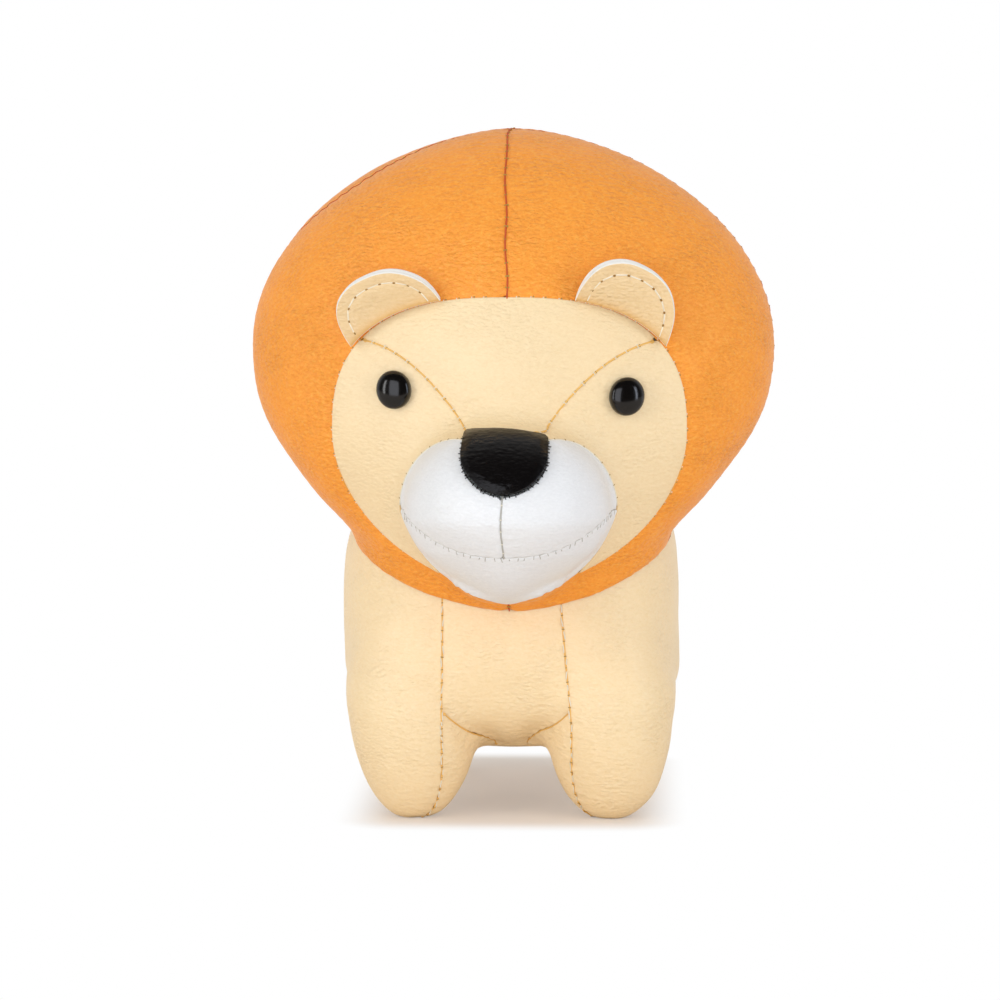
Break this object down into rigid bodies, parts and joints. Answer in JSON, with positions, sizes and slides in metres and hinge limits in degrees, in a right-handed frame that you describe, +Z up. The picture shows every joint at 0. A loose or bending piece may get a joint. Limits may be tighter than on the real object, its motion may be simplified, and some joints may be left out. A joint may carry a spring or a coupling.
{
  "type": "stuffed lion toy",
  "caption": "Stuffed lion sewn from leatherette panels: big head with a round orange mane, cream face and body, white muzzle, black nose, stub legs and a strap tail.",
  "frame": {"origin": "centre of the bounding box's base, on the floor under the feet", "axes": "+Z up, the lion faces -Y, +X towards its own left side"},
  "size_m": [0.1058, 0.122, 0.1386],
  "materials": {
    "mane_leather": "orange grained synthetic leather, satin",
    "face_leather": "cream synthetic leather, satin",
    "muzzle_leather": "white synthetic leather, satin",
    "nose_leather": "black synthetic leather, glossy on its rolled edge",
    "ear_leather": "cream synthetic leather with raw white edges",
    "body_leather": "cream synthetic leather, satin",
    "eye_plastic": "polished black",
    "washer_plastic": "natural white",
    "stuffing_fibre": "loose white fibre fill"
  },
  "bodies": {
    "torso": {"side_left": "body_leather", "side_right": "body_leather", "chest_belly_strip": "body_leather", "torso_stuffing": "stuffing_fibre", "leg_stuffing_front_left": "stuffing_fibre", "leg_stuffing_front_right": "stuffing_fibre", "leg_stuffing_rear_left": "stuffing_fibre", "leg_stuffing_rear_right": "stuffing_fibre", "inner_leg_front_left": "body_leather", "inner_leg_front_right": "body_leather", "inner_leg_rear_left": "body_leather", "inner_leg_rear_right": "body_leather"},
    "neck": {"neck_stuffing": "stuffing_fibre"},
    "head": {"mane_front_left": "mane_leather", "mane_front_right": "mane_leather", "mane_back_left": "mane_leather", "mane_back_right": "mane_leather", "forehead": "face_leather", "cheek_left": "face_leather", "cheek_right": "face_leather", "muzzle_left": "muzzle_leather", "muzzle_right": "muzzle_leather", "chin": "muzzle_leather", "nose": "nose_leather", "head_stuffing": "stuffing_fibre", "eye_left": "eye_plastic", "eye_right": "eye_plastic", "eye_washer_left": "washer_plastic", "eye_washer_right": "washer_plastic"},
    "ear_left": {"ear_left_front": "ear_leather", "ear_left_back": "ear_leather"},
    "ear_right": {"ear_right_front": "ear_leather", "ear_right_back": "ear_leather"},
    "tail": {"tail_strap_front": "body_leather", "tail_strap_back": "body_leather", "tail_tuft_front": "mane_leather", "tail_tuft_back": "mane_leather"}
  },
  "joints": [
    {"name": "neck_turn", "type": "hinge", "parent": "torso", "child": "neck", "pos_m": [0, -0.00801, 0.0548], "axis": [0, 0, 1], "range_deg": [-8, 8], "stiffness_Nm_per_rad": 0.5},
    {"name": "neck_nod", "type": "hinge", "parent": "neck", "child": "head", "pos_m": [0, -0.00801, 0.0548], "axis": [1, 0, 0], "range_deg": [-6, 6], "stiffness_Nm_per_rad": 0.5},
    {"name": "ear_left_fold", "type": "hinge", "parent": "head", "child": "ear_left", "pos_m": [0.02249, -0.03615, 0.10059], "axis": [0.8923, 0.1551, -0.4239], "range_deg": [-25, 90], "stiffness_Nm_per_rad": 0.005},
    {"name": "ear_right_fold", "type": "hinge", "parent": "head", "child": "ear_right", "pos_m": [-0.02249, -0.03615, 0.10059], "axis": [0.8923, -0.1551, 0.4239], "range_deg": [-25, 90], "stiffness_Nm_per_rad": 0.005},
    {"name": "tail_lift", "type": "hinge", "parent": "torso", "child": "tail", "pos_m": [0, 0.05571, 0.055], "axis": [1, 0, 0], "range_deg": [0, 100]}
  ]
}
